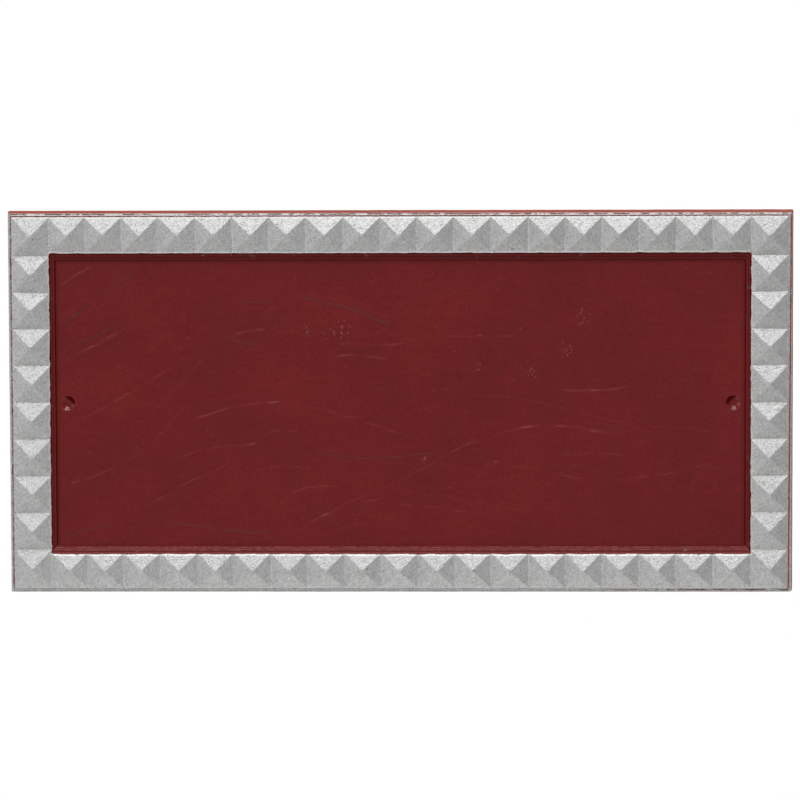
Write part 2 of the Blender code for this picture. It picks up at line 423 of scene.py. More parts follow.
# Creases in the field's enamel: both ends (x, z) and the bow of the arc between them
# in millimetres, and how strong the fold is. A negative one faces down.
CREASES = (
    (-90, 53, -62, 53, -1.2, -0.070),
    (-57, 55, 0, 37, 3.5, -0.150),
    (-97, 38, -70, 30, -2.0, -0.070),
    (-89, 52, -37, 33, 1.0, -0.040),
    (-37, 33, 10, 33, -3.0, 0.030),
    (-86, 36, -68, 38, 0.6, 0.022),
    (-35, 24, -3, 21, 2.0, 0.022),
    (24, 65, 11, 35, -4.0, 0.022),
    (11, 35, 0, 3, 2.5, 0.022),
    (40, 65, 17, 48, 1.5, 0.018),
    (4, 34, 66, 34, 0.5, 0.018),
    (36, 40, 80, 8, -2.5, 0.026),
    (80, 8, 122, 10, -3.0, 0.030),
    (31, 4, 92, -5, 2.0, 0.024),
    (92, -5, 146, -22, 1.5, 0.026),
    (122, -12, 165, -16, 0.8, 0.020),
    (-53, -1, 8, -19, 1.5, 0.034),
    (-112, -12, -53, -1, 5.0, 0.034),
    (-120, -30, -68, -22, 3.0, 0.026),
    (-80, -25, -47, -17, 6.0, 0.022),
    (-53, -25, 27, -24, -4.0, -0.050),
    (27, -24, 76, -12, 2.0, 0.022),
    (76, -12, 123, -19, 1.5, 0.020),
    (30, -25, 104, -40, -2.0, 0.034),
    (104, -40, 174, -27, -3.0, 0.028),
    (-50, -64, -12, -46, 1.0, 0.040),
    (-12, -46, 38, -19, -1.0, 0.036),
    (32, -46, 61, -22, 1.0, 0.022),
    (-135, -57, -60, -68, -3.0, -0.050),
    (-71, -65, -55, -30, -1.5, -0.050),
    (-30, -40, -27, -28, 1.0, 0.022),
    (-177, -43, -130, -22, -3.0, 0.040),
    (-130, -22, -114, -3, -1.0, 0.034),
    (-174, -12, -107, 26, -2.0, 0.042),
    (-177, 21, -135, 43, -1.0, 0.048),
    (-177, 38, -132, 71, 1.0, -0.090),
    (-177, 60, -158, 71, 0.5, 0.080),
    (-133, -55, -84, -30, 1.5, 0.034),
    (-78, -36, -45, -34, 1.5, 0.020),
    (-177, -71, -150, -63, 1.0, -0.050),
    (-61, -48, -31, -43, 1.5, 0.026),
    (76, -28, 120, -28, 1.5, 0.020),
    (-12, -52, 60, -62, 2.0, 0.024),
    (10, -45, 72, -57, -1.5, 0.022),
    (-45, -58, -10, -60, 1.0, 0.026),
    (-168, 48, -140, 70, 0.5, -0.060),
    (-178, 25, -134, 45, 1.0, -0.050),
    (-3, -45, 31, -53, 1.0, 0.030),
    (-23, -53, -3, -48, 0.5, 0.030),
    (36, -45, 49, -32, 0.5, 0.035),
    (-39, -68, -13, -61, 0.5, 0.030),
    (56, -14, 90, -13, 1.5, 0.012),
    (90, -13, 121, -22, 1.0, 0.030),
    (45, 10, 68, 36, -1.0, -0.024),
    (-130, -8, -96, 28, 1.0, 0.030),
    (126, -40, 150, -52, 0.5, 0.024),
    (150, -44, 156, -36, 0.2, 0.080),
)

# A crease's height is this much times the root of its strength; then its width and reach
CREASE_HEIGHT = 1.25 * MM
CREASE_WIDTH = 0.45 * MM
CREASE_REACH = 3.5 * MM
FILM_WAVE = 0.055 * MM


def creases(x, z):
    """The field's relief from the creases.

    Across each arc the surface steps by a hyperbolic tangent and settles back by a Gaussian,
    and it fades out towards the arc's ends.
    """
    relief = np.zeros_like(x)
    for from_x, from_z, to_x, to_z, bow, strength in CREASES:
        run_x, run_z = (to_x - from_x) * MM, (to_z - from_z) * MM
        length = math.hypot(run_x, run_z)
        away_x, away_z = x - from_x * MM, z - from_z * MM
        along = (away_x * run_x + away_z * run_z) / length ** 2
        beside = (away_z * run_x - away_x * run_z) / length
        beside = beside - 4 * bow * MM * along * (1 - along)
        beside = beside + 0.5 * MM * lattice_noise(x, z, 7 * MM, 7 * MM, 53)
        fade = smoothstep(along / 0.18) * smoothstep((1 - along) / 0.18)
        uneven = 0.75 + 0.5 * lattice_noise(x, z, 5 * MM, 5 * MM, 57)
        fold = np.tanh(-beside / CREASE_WIDTH) * np.exp(-(beside / CREASE_REACH) ** 2)
        height = math.copysign(math.sqrt(abs(strength)), strength) * CREASE_HEIGHT
        relief += height * fold * fade * uneven
    return relief


def film(x, z):
    """The field's whole relief: creases, drawn-out ripples and a low waviness, flat at its edge.

    The ripples slant more towards the left end, where the film ran as it dried.
    """
    slant = 0.5 * np.exp(-(((x + OPENING_X) / (110 * MM)) ** 2)) - 0.12
    drawn_x = x + slant * z
    drawn_z = z - slant * x
    relief = creases(x, z)
    relief += FILM_WAVE * lattice_noise(drawn_x, drawn_z, 13 * MM, 2.2 * MM, 61)
    relief += 0.7 * FILM_WAVE * lattice_noise(drawn_x, drawn_z, 6 * MM, 1.5 * MM, 67)
    relief += 1.1 * FILM_WAVE * lattice_noise(x, z, 34 * MM, 22 * MM, 71)
    edge = np.minimum(FIELD_X - np.abs(x), FIELD_Z - np.abs(z))
    return relief * smoothstep(edge / (1.2 * MM))


def split(low, high, step):
    """Evenly spaced places from low to high, about a step apart, without the last."""
    return np.linspace(low, high, max(1, int(round((high - low) / step))) + 1)[:-1]


def spot_sheet(side, lines_x, lines_z):
    """One screw spot: rings that go from a square hole in the field's grid to a turned dimple.

    The square's points slide along straight lines to a circle at the mouth. Inside it the
    profile is a rounded lip, a cone, a short bore and a floor.
    """
    centre = side * SPOT_X
    square_x = np.concatenate((lines_x[:-1], np.full(lines_z.size - 1, lines_x[-1]),
                               lines_x[:0:-1], np.full(lines_z.size - 1, lines_x[0])))
    square_z = np.concatenate((np.full(lines_x.size - 1, lines_z[-1]), lines_z[:0:-1],
                               np.full(lines_x.size - 1, lines_z[0]), lines_z[:-1]))
    square_x = np.append(square_x, square_x[0])
    square_z = np.append(square_z, square_z[0])
    angle = np.arctan2(square_z, square_x - centre)
    share = np.array((0.0, 0.25, 0.5, 0.75, 0.9))[:, None]
    ring_x = centre + (SPOT_MOUTH + SPOT_LIP) * np.cos(angle)
    ring_z = (SPOT_MOUTH + SPOT_LIP) * np.sin(angle)
    outer_x = square_x * (1 - share) + ring_x * share
    outer_z = square_z * (1 - share) + ring_z * share
    slope = SPOT_CONE_DEPTH / (SPOT_MOUTH - SPOT_FLOOR)
    radius = np.concatenate((
        SPOT_MOUTH + SPOT_LIP * np.array((1.0, 0.5, 0.15, -0.3, -0.9)),
        np.linspace(SPOT_MOUTH - 1.6 * SPOT_LIP, SPOT_FLOOR + 0.6 * SPOT_LIP, 7),
        SPOT_FLOOR + SPOT_LIP * np.array((0.15, -0.05, -0.12, -0.3, -0.9)),
        SPOT_FLOOR * np.array((0.6, 0.3, 0.0)),
    ))
    cone = np.clip(SPOT_MOUTH - radius, 0, None) * slope
    bore = SPOT_DEPTH - SPOT_CONE_DEPTH
    deeper = bore * smoothstep((SPOT_FLOOR + 0.1 * SPOT_LIP - radius) / (0.9 * SPOT_LIP))
    depth = np.minimum(cone, SPOT_CONE_DEPTH) + deeper
    depth[1:5] += SPOT_LIP_FALL * np.array((0.2, 0.8, 0.9, 0.3))
    inner_x = centre + radius[:, None] * np.cos(angle)
    inner_z = radius[:, None] * np.sin(angle)
    x = np.concatenate((outer_x, inner_x))
    z = np.concatenate((outer_z, inner_z))
    sunk = np.concatenate((np.zeros(share.size), depth))[:, None]
    rough = SPOT_ROUGHNESS * lattice_noise(x, z, 1.1 * MM, 1.1 * MM, 83) * smoothstep(sunk / (0.3 * MM))
    level = film(x, z) * smoothstep(1 - sunk / (0.5 * MM))
    y = FIELD_DEPTH - BODY_DEPTH + sunk + rough - level
    return np.stack((x, y, z), -1)[::-1]


def window_lines(centre):
    """Grid lines through the square hole round a screw spot, as close as the field's rows."""
    low, high = centre - SPOT_WINDOW, centre + SPOT_WINDOW
    return np.append(split(low, high, FIELD_STEP_Z), high)


def field_sheets():
    """The creased field as grids on film's height, and a screw spot in each of its two holes."""
    left_x, right_x = window_lines(-SPOT_X), window_lines(SPOT_X)
    window_z = window_lines(0.0)
    edge_x, edge_z = FIELD_X + TUCK, FIELD_Z + TUCK
    lines_x = np.concatenate((
        split(-edge_x, left_x[0], FIELD_STEP_X), left_x[:-1],
        split(left_x[-1], right_x[0], FIELD_STEP_X), right_x[:-1],
        split(right_x[-1], edge_x, FIELD_STEP_X), [edge_x],
    ))
    lines_z = np.concatenate((
        split(-edge_z, window_z[0], FIELD_STEP_Z), window_z[:-1],
        split(window_z[-1], edge_z, FIELD_STEP_Z), [edge_z],
    ))
    cuts_x = [-edge_x, left_x[0], left_x[-1], right_x[0], right_x[-1], edge_x]
    cuts_z = [-edge_z, window_z[0], window_z[-1], edge_z]
    sheets = []
    for i, (left, right) in enumerate(zip(cuts_x, cuts_x[1:])):
        for j, (low, high) in enumerate(zip(cuts_z, cuts_z[1:])):
            if i in (1, 3) and j == 1:
                continue
            part_x = lines_x[(lines_x >= left - MERGE) & (lines_x <= right + MERGE)]
            part_z = lines_z[(lines_z >= low - MERGE) & (lines_z <= high + MERGE)]
            z, x = np.meshgrid(part_z, part_x, indexing="ij")
            y = FIELD_DEPTH - BODY_DEPTH - film(x, z)
            sheets.append(np.stack((x, y, z), -1))
    return sheets + [spot_sheet(-1, left_x, window_z), spot_sheet(1, right_x, window_z)]


def field_stair():
    """The steps down from the studs: one profile carried round the opening.

    The ledges are wider above and below the field than beside it, so the profile's runs are
    stretched there. Ripples shift the risers, and lattice noise lifts the ledges.
    """
    runs = stair_runs(FIELD_LEDGES, FIELD_LEDGE_SIDE)
    runs = runs[runs <= (FIELD_LEDGES - 1) * FIELD_LEDGE_SIDE + LEAN + MERGE]
    depths = stair_depth(runs, FIELD_LEDGES, FIELD_LEDGE_SIDE, FIELD_RISER)
    stretch = (FIELD_LEDGE_LEVEL - LEAN) / (FIELD_LEDGE_SIDE - LEAN)
    ledge = np.floor((runs + MERGE) / FIELD_LEDGE_SIDE)
    within = runs - ledge * FIELD_LEDGE_SIDE
    level_runs = ledge * FIELD_LEDGE_LEVEL + np.minimum(within, LEAN)
    level_runs += np.maximum(within - LEAN, 0) * stretch
    radii = np.minimum(runs, FIELD_CORNER_RADIUS)
    x, z = ring_path(OPENING_X - runs, OPENING_Z - level_runs, radii, STAIR_STEP)
    loose = smoothstep(runs / LEAN)[:, None]
    shift = STAIR_WANDER * loose * ripples(x, z, 8 * MM, 91)
    near_side = OPENING_X - np.abs(x) < OPENING_Z - np.abs(z)
    x = x + np.sign(x) * shift * near_side
    z = z + np.sign(z) * shift * ~near_side
    y = depths[:, None] - BODY_DEPTH + STAIR_DIP * loose * lattice_noise(x, z, 5 * MM, 5 * MM, 97)
    y[-1] += TUCK_DEPTH
    return np.stack((x, y, z), -1)[::-1]


def field_piece():
    """The steps down from the studs, the creased field and the two screw spots."""
    return make_piece("sunken_field", field_sheets() + [field_stair()], 50)


class Wire:
    """A value in a material, so that its sums read as sums. Each adds its Math node."""

    def __init__(self, paint, socket):
        self.paint = paint
        self.socket = socket

    def maths(self, operation, *values):
        """The Math node of an operation on these values."""
        return self.paint.node("ShaderNodeMath", {"operation": operation}, dict(enumerate(values)))

    def __add__(self, other):
        return self.maths("ADD", self, other)

    __radd__ = __add__

    def __sub__(self, other):
        return self.maths("SUBTRACT", self, other)

    def __rsub__(self, other):
        return self.maths("SUBTRACT", other, self)

    def __mul__(self, other):
        return self.maths("MULTIPLY", self, other)

    __rmul__ = __mul__

    def __truediv__(self, other):
        return self.maths("DIVIDE", self, other)

    def __abs__(self):
        return self.maths("ABSOLUTE", self)

    def root(self):
        return self.maths("SQRT", self)

    def most(self, other):
        """The larger of the two."""
        return self.maths("MAXIMUM", self, other)

    def least(self, other):
        """The smaller of the two."""
        return self.maths("MINIMUM", self, other)

    def rise(self, low, high):
        """0 below low, 1 above high, and smooth between them; it falls where high is less."""
        settings = {"interpolation_type": "SMOOTHSTEP"}
        values = {"Value": self, "From Min": low, "From Max": high}
        return self.paint.node("ShaderNodeMapRange", settings, values)


class Paint:
    """One material under construction, with its nodes."""

    def __init__(self, name):
        self.material = bpy.data.materials.new(name)
        self.material.use_nodes = True
        self.tree = self.material.node_tree
        self.tree.nodes.clear()
        self.place = self.node("ShaderNodeTexCoord", {}, {}, "Object")
        self.x = self.node("ShaderNodeSeparateXYZ", {}, {0: self.place}, "X")
        self.y = self.node("ShaderNodeSeparateXYZ", {}, {0: self.place}, "Y")
        self.z = self.node("ShaderNodeSeparateXYZ", {}, {0: self.place}, "Z")

    def node(self, kind, settings, values, output=0):
        """Add a node of a kind, set its settings, then the values or links of its sockets."""
        made = self.tree.nodes.new(kind)
        for setting, value in settings.items():
            if setting == "stops":
                ramp = made.color_ramp.elements
                while len(ramp) < len(value):
                    ramp.new(0.5)
                for element, (position, colour) in zip(ramp, value):
                    element.position = position
                    element.color = colour
            else:
                setattr(made, setting, value)
        for socket, value in values.items():
            if isinstance(value, Wire):
                self.tree.links.new(value.socket, made.inputs[socket])
            else:
                made.inputs[socket].default_value = value
        return Wire(self, made.outputs[output])

    def stretched(self, size_x, size_y, size_z, turn=0.0, shift=(0.0, 0.0, 0.0)):
        """Object coordinates in which a pattern's unit has the given size, turned about Y."""
        place = self.place
        if turn:
            place = self.node("ShaderNodeMapping", {}, {"Vector": place, "Rotation": (0, turn, 0)})
        scale = (1 / size_x, 1 / size_y, 1 / size_z)
        return self.node("ShaderNodeMapping", {}, {"Vector": place, "Scale": scale, "Location": shift})

    def noise(self, size, detail=3.0, roughness=0.5, turn=0.0, shift=(0.0, 0.0, 0.0), distortion=0.0):
        """Noise about 0.5; size is one number, or three for a drawn-out pattern."""
        sizes = size if isinstance(size, tuple) else (size, size, size)
        values = {"Vector": self.stretched(*sizes, turn, shift), "Scale": 1.0, "Detail": detail,
                  "Roughness": roughness, "Distortion": distortion}
        return self.node("ShaderNodeTexNoise", {}, values, "Fac")

    def colours(self, share, first, second):
        """A colour between first and second."""
        return self.node("ShaderNodeMix", {"data_type": "RGBA"}, {0: share, 6: first, 7: second}, 2)

    def numbers(self, share, first, second):
        """A number between first and second."""
        return self.node("ShaderNodeMix", {}, {0: share, 2: first, 3: second})

    def ramp(self, share, stops):
        """The colour at a share of the way along stops, each a position and a colour."""
        return self.node("ShaderNodeValToRGB", {"stops": stops}, {0: share})

    def close(self, shader_values, height):
        """The finished material: a Principled shader whose bump has a height in metres."""
        relief = {"Height": height, "Strength": 1.0, "Distance": 1.0}
        bump = self.node("ShaderNodeBump", {}, relief, "Normal")
        values = {**shader_values, "Specular IOR Level": SPECULAR, "Normal": bump}
        shader = self.node("ShaderNodeBsdfPrincipled", {}, values)
        output = self.tree.nodes.new("ShaderNodeOutputMaterial")
        self.tree.links.new(shader.socket, output.inputs["Surface"])
        return self.material


# Colours as linear red, green and blue with their opacity, and the mirroring of every finish
SILVER = (0.600, 0.600, 0.600, 1.0)
SILVER_DULL = (0.500, 0.497, 0.491, 1.0)
SILVER_BRIGHT = (0.700, 0.700, 0.698, 1.0)
RED = (0.182, 0.0098, 0.0112, 1.0)
RED_DEEP = (0.152, 0.0080, 0.0092, 1.0)
RED_WORN = (0.216, 0.0132, 0.0142, 1.0)
# Dark red for painted shade in the field's grooves and in the screw spots
RED_PAINTED_SHADE = (0.110, 0.0012, 0.0018, 1.0)
# Orange for the undercoat along the rim's right side and for the painted highlight on the top edge
ORANGE_WEAR_AND_HIGHLIGHT = (0.540, 0.060, 0.020, 1.0)
# Pale pink for the painted highlight on the lower side's ledges
LEDGE_HIGHLIGHT = (0.520, 0.190, 0.180, 1.0)
# Near-white for painted highlights on the silver's edges and along the studs' lines
SILVER_HIGHLIGHT = (0.930, 0.925, 0.910, 1.0)
CHALK = (0.560, 0.330, 0.310, 1.0)
BARE_CAST = (0.380, 0.375, 0.365, 1.0)
BARE_CAST_DARK = (0.210, 0.205, 0.198, 1.0)
SPECULAR = 0.38

# How thick the silver lies on the red
SILVER_COAT = 0.03 * MM

# Where light specks gather in the field: centre (x, z) and reach, in millimetres
SPECK_CLUSTERS = (
    (94, 45, 9),
    (86, 27, 7),
    (68, 16, 8),
    (41, 18, 6),
    (-32, 37, 12),
    (-48, 38, 5),
    (13, -29, 5),
)

Sides = namedtuple("Sides", "top right bottom left")


def outside(paint, half_x, half_z, radius=0.0):
    """How far a place lies outside a rectangle with rounded corners, negative inside it."""
    over_x = abs(paint.x) - (half_x - radius)
    over_z = abs(paint.z) - (half_z - radius)
    corner_x, corner_z = over_x.most(0.0), over_z.most(0.0)
    corner = (corner_x * corner_x + corner_z * corner_z).root()
    return corner + over_x.most(over_z).least(0.0) - radius


@functools.cache
def sides(paint):
    """Four masks, one for the places nearest each side, made once for a material."""
    level = (abs(paint.z) - abs(paint.x) + (OUTER_X - OUTER_Z)).rise(-0.2 * MM, 0.2 * MM)
    upper = paint.z.rise(-1.0 * MM, 1.0 * MM)
    righter = paint.x.rise(-1.0 * MM, 1.0 * MM)
    upright = 1 - level
    return Sides(level * upper, upright * righter, level * (1 - upper), upright * (1 - righter))


def band(place, low, high, soft):
    """1 from low to high and 0 outside them, with soft ends."""
    return place.rise(low - soft, low) * place.rise(high + soft, high)


@functools.cache
def stud_line(paint, mark):
    """The fine line along each of the studs' ridges, or round their bases."""
    return paint.node("ShaderNodeAttribute", {"attribute_name": mark}, {}, "Fac").rise(0.66, 0.92)


def silver_finish(paint):
    """Silver paint brushed on a sand casting: colour, roughness, metallic and height in metres."""
    streaks = paint.noise((4.5 * MM, 4.5 * MM, 0.7 * MM), 2.0, 0.5, turn=0.45, distortion=0.3)
    crossing = paint.noise((0.7 * MM, 4.5 * MM, 4.0 * MM), 2.0, 0.5, turn=0.3, shift=(2.0, 2.0, 2.0))
    blotch = paint.noise(6.0 * MM, 3.0, 0.55, shift=(3.0, 0.0, 7.0))
    grain = paint.noise(0.85 * MM, 2.0, 0.6)
    pits = paint.noise(1.3 * MM, 2.0, 0.5, shift=(11.0, 5.0, 2.0))
    brushed = paint.numbers(blotch.rise(0.42, 0.58), streaks, crossing)
    tone = brushed * 0.45 + blotch * 0.10 + grain * 0.45
    colour = paint.ramp(tone, ((0.41, SILVER_DULL), (0.5, SILVER), (0.59, SILVER_BRIGHT)))
    near = sides(paint)
    # Painted highlights: a near-white line where the silver meets the opening, strongest at the bottom
    # where the edge faces up, and a band on the upper rim
    edge_highlight = brushed_edge(paint).rise(1.0 * MM, 0.6 * MM) * (0.25 + 0.5 * near.top + 0.75 * near.bottom)
    rim_highlight = band(outside(paint, OUTER_X, OUTER_Z), -0.35 * MM, 1.85 * MM, 0.15 * MM) * near.top
    colour = paint.colours(edge_highlight.most(rim_highlight * 0.8), colour, SILVER_HIGHLIGHT)
    # Painted highlights along the studs' ridges and round their bases, broken by noise
    highlight_strength = paint.noise(2.6 * MM, 3.0, 0.6, shift=(6.0, 2.0, 6.0)).rise(0.38, 0.58)
    lines = stud_line(paint, CREST) * (0.30 * highlight_strength)
    lines = lines.most(stud_line(paint, VALLEY) * (0.10 + 0.45 * highlight_strength))
    colour = paint.colours(lines, colour, SILVER_HIGHLIGHT)
    roughness = 0.42 + 0.16 * blotch
    height = 0.20 * MM * grain + 0.20 * MM * brushed - 0.14 * MM * pits.rise(0.62, 0.74)
    return colour, roughness, 0.45, height


def stair_place(paint):
    """A place on the field's steps in ledges: 0 at the opening, and falling inwards."""
    beside = (abs(paint.x) - OPENING_X) / FIELD_LEDGE_SIDE
    above = (abs(paint.z) - OPENING_Z) / FIELD_LEDGE_LEVEL
    return beside.most(above)


def painted_groove_shade(paint):
    """Painted shade in the enamel: along the risers, widest under the upper side, and a thin line on the
    lower side.
    """
    stair = stair_place(paint)
    near = sides(paint)
    first = band(stair, -0.45, 0.0, 0.12)
    second = band(stair, -1.25, -1.0, 0.15) * 0.5
    third = band(stair, -2.45, -2.05, 0.2)
    foot = band(stair, -3.2, -2.3, 0.6) * 0.25
    under = band(stair, -2.6, 0.0, 1.0) * 0.55
    lines = second.most(third).most(foot) * (1 - 0.7 * near.top)
    dark = first.most(lines).most(near.top * under)
    low = band(stair, -0.52, -0.40, 0.06)
    return dark * (1 - near.bottom) * (0.85 - 0.38 * near.top) + low * near.bottom * 0.5


def painted_ledge_highlight(paint):
    """Painted highlight in broken lines on the lower side's ledges, which face up to the light."""
    stair = stair_place(paint)
    broken = paint.noise((2.4 * MM, 2.4 * MM, 0.6 * MM), 3.0, 0.6, shift=(8.0, 1.0, 1.0)).rise(0.44, 0.58)
    narrow = band(stair, -0.86, -0.72, 0.06).most(band(stair, -1.68, -1.54, 0.06))
    whole = band(stair, -1.62, -0.75, 0.10) * 0.24 + band(stair, -0.35, 0.2, 0.10) * 0.20
    return sides(paint).bottom * (narrow * (0.20 + 0.75 * broken)).most(whole)


def specks(paint):
    """Light specks of dust in the enamel, thick in a few clusters and rare elsewhere."""
    fine = paint.noise(1.1 * MM, 2.0, 0.5, shift=(4.0, 4.0, 4.0))
    gathered = 0.0
    for x, z, reach in SPECK_CLUSTERS:
        away_x, away_z = paint.x - x * MM, paint.z - z * MM
        away = (away_x * away_x + away_z * away_z).root()
        gathered = away.rise(reach * MM, 0.0) + gathered
    return (fine + gathered * 0.16).rise(0.74, 0.78)


def enamel_finish(paint):
    """Red enamel that dried like a film: colour, roughness, metallic and height in metres.

    Painted shade darkens the grooves and the upper wall of each screw spot; there the enamel is made
    metallic, so it mirrors red without a white gloss.
    """
    drawn = paint.noise((7.0 * MM, 7.0 * MM, 2.6 * MM), 2.0, 0.5, turn=-0.1, distortion=0.3)
    cloud = paint.noise(38.0 * MM, 3.0, 0.5, shift=(2.0, 9.0, 4.0))
    grain = paint.noise(0.9 * MM, 2.0, 0.5)
    tone = 0.30 * cloud + 0.12 * drawn + 0.46 * grain + 0.06
    colour = paint.ramp(tone, ((0.38, RED_DEEP), (0.5, RED), (0.62, RED_WORN)))
    dust = specks(paint)
    colour = paint.colours(dust * 0.26, colour, CHALK)
    # Painted shade along the field's risers and under its upper side
    groove_painted_shade = painted_groove_shade(paint)
    colour = paint.colours(groove_painted_shade, colour, RED_PAINTED_SHADE)
    # Painted highlight on the lower side's ledges
    colour = paint.colours(painted_ledge_highlight(paint) * 0.8, colour, LEDGE_HIGHLIGHT)
    beside = abs(paint.x) - SPOT_X
    in_spot = (beside * beside + paint.z * paint.z).root()
    pooled = in_spot.rise(SPOT_MOUTH, SPOT_MOUTH - 0.5 * MM)
    # Painted shade on the upper, inner wall of each screw spot, where the wall faces down
    uphill = paint.z - 0.8 * beside
    shaded = pooled * in_spot.rise(0.9 * MM, 2.0 * MM) * uphill.rise(0.8 * MM, 2.6 * MM)
    colour = paint.colours(shaded * 0.80, colour, RED_PAINTED_SHADE)
    glossy = pooled * uphill.rise(-0.5 * MM, -1.5 * MM)
    roughness = paint.numbers(glossy, 0.30 + 0.10 * drawn, 0.13)
    roughness = roughness + shaded * 0.35 + groove_painted_shade * 0.30
    metallic = groove_painted_shade.most(shaded) * 0.85
    height = 0.005 * MM * drawn + 0.010 * MM * grain + 0.02 * MM * dust
    return colour, roughness, metallic, height


def painted(name, silver_mask, wear_and_highlight_mask=None):
    """Silver paint over red enamel where silver_mask says, with a thin edge between them."""
    paint = Paint(name)
    mask = silver_mask(paint)
    silver, silver_rough, metallic, silver_height = silver_finish(paint)
    red, red_rough, red_metallic, red_height = enamel_finish(paint)
    # Orange where the mask says: worn undercoat on the rim, a painted highlight on the top edge
    if wear_and_highlight_mask:
        red = paint.colours(wear_and_highlight_mask(paint), red, ORANGE_WEAR_AND_HIGHLIGHT)
    values = {
        "Base Color": paint.colours(mask, red, silver),
        "Roughness": paint.numbers(mask, red_rough, silver_rough),
        "Metallic": paint.numbers(mask, red_metallic, metallic),
    }
    return paint.close(values, paint.numbers(mask, red_height, silver_height + SILVER_COAT))


def rim_lines(paint, place):
    """The thin red lines that the silver leaves open on the rim, different on each side."""
    near = sides(paint)
    patchy = paint.noise(5.0 * MM, 3.0, 0.6, shift=(1.0, 6.0, 3.0)).rise(0.40, 0.55)
    soft = 0.12 * MM
    upper = band(place, 0.40 * MM, 0.82 * MM, soft)
    upper = upper.most(band(place, 1.34 * MM, 1.72 * MM, soft) * patchy)
    drift = place - paint.z * (0.55 * MM / HIGH.z)
    side = band(drift, 0.72 * MM, 1.22 * MM, soft)
    dotted = paint.noise(1.6 * MM, 2.0, 0.6, shift=(3.0, 9.0, 2.0)).rise(0.40, 0.56)
    edge = band(place, 0.45 * MM, 1.0 * MM, soft) * (0.35 + 0.30 * patchy + 0.35 * dotted)
    foot = band(place, 0.65 * MM, 1.05 * MM, soft) * patchy * paint.x.rise(60 * MM, 160 * MM)
    lines = (near.top * upper).most(near.right * side)
    return lines.most(near.left * edge).most(near.bottom * foot)


@functools.cache
def brushed_edge(paint):
    """How far a place lies outside the wavering line where the silver ends at the opening."""
    near = sides(paint)
    swing = 1.1 * MM + 0.9 * MM * (near.left + near.right)
    waver = (paint.noise(5.5 * MM, 3.0, 0.5, shift=(9.0, 2.0, 4.0)) - 0.5) * swing
    lap = near.bottom * (0.75 * MM)
    return outside(paint, OPENING_X, OPENING_Z, OPENING_CORNER) + waver - lap


def border_mask(paint):
    """Silver all over, but for the lines on the rim, the opening's wavering edge and specks."""
    run = outside(paint, OUTER_X, OUTER_Z)
    wavy = (paint.noise(2.2 * MM, 3.0, 0.6, shift=(5.0, 1.0, 8.0)) - 0.5) * (0.8 * MM)
    inner = outside(paint, OPENING_X, OPENING_Z).rise(3.0 * MM, 0.5 * MM)
    creased = stud_line(paint, CREST) * 0.03 + stud_line(paint, VALLEY) * 0.075
    spots = paint.noise(1.1 * MM, 2.0, 0.5, shift=(7.0, 7.0, 1.0)) + inner * 0.035 + creased
    gathered = paint.noise(14.0 * MM, 2.0, 0.5, shift=(4.0, 1.0, 9.0)).rise(0.45, 0.65)
    missed = (spots + gathered * 0.03).rise(0.725, 0.765)
    smudge = paint.noise((5.0 * MM, 5.0 * MM, 1.1 * MM), 3.0, 0.6, turn=0.7, shift=(3.0, 5.0, 7.0))
    missed = missed.most((smudge + inner * 0.03 + gathered * 0.03).rise(0.66, 0.78) * 0.55)
    over = brushed_edge(paint).rise(-0.02 * MM, -0.10 * MM)
    return 1 - rim_lines(paint, run + wavy).most(missed * 0.7).most(over)


def field_mask(paint):
    """Red all over, but for the silver that strays onto the first riser and faint smears."""
    smear = paint.noise(3.0 * MM, 4.0, 0.6, shift=(2.0, 2.0, 9.0)).rise(0.60, 0.74)
    near = outside(paint, OPENING_X, OPENING_Z).rise(-3.8 * MM, -1.0 * MM)
    return brushed_edge(paint).rise(-0.10 * MM, -0.02 * MM).most(smear * near * 0.10)


def edge_mask(paint):
    """Red, with silver that strayed over the lip on all sides but the top."""
    top = sides(paint).top
    depth = paint.y + BODY_DEPTH
    dust = paint.noise(1.0 * MM, 4.0, 0.7, shift=(6.0, 3.0, 3.0))
    over = depth.rise(3.4 * MM, 1.6 * MM) * (1 - top)
    lip = depth.rise(1.75 * MM, 1.45 * MM) * top * 0.8
    return ((dust * 0.8 + over * 0.6 + 0.05).rise(0.56, 0.80) * (0.85 - 0.80 * top)).most(lip)


def top_edge_highlight(paint):
    """Painted highlight: the upper edge painted lighter orange, where it faces the light above."""
    top = sides(paint).top
    wear_and_highlight_patches = paint.noise(4.0 * MM, 4.0, 0.6, shift=(3.0, 3.0, 6.0)).rise(0.30, 0.60)
    return top * (0.60 + 0.40 * wear_and_highlight_patches)


def rim_worn(paint):
    """The undercoat shows in the line along the right side of the rim."""
    wear_and_highlight_patches = paint.noise(6.0 * MM, 3.0, 0.6, shift=(2.0, 8.0, 6.0)).rise(0.36, 0.56)
    return sides(paint).right * (0.35 + 0.65 * wear_and_highlight_patches)


def back_material():
    """Bare sand-cast metal, darker in its pits, with red that ran over the edge."""
    paint = Paint("bare_cast_metal")
    cloud = paint.noise(30.0 * MM, 4.0, 0.6)
    grain = paint.noise(0.9 * MM, 4.0, 0.7)
    pits = paint.noise(2.4 * MM, 3.0, 0.6, shift=(3.0, 8.0, 1.0))
    tone = 0.5 * cloud + 0.3 * grain + 0.2 * pits
    cast = paint.ramp(tone, ((0.34, BARE_CAST_DARK), (0.62, BARE_CAST)))
    run = outside(paint, OUTER_X, OUTER_Z)
    stray = (paint.noise(7.0 * MM, 4.0, 0.65, shift=(1.0, 1.0, 5.0)) - 0.5) * (14.0 * MM)
    red = (run + stray).rise(-4.0 * MM, 2.0 * MM)
    values = {
        "Base Color": paint.colours(red, cast, RED_DEEP),
        "Roughness": paint.numbers(red, 0.5 + 0.2 * grain, 0.42),
        "Metallic": (1 - red) * 0.8,
    }
    return paint.close(values, 0.10 * MM * grain + 0.12 * MM * pits)


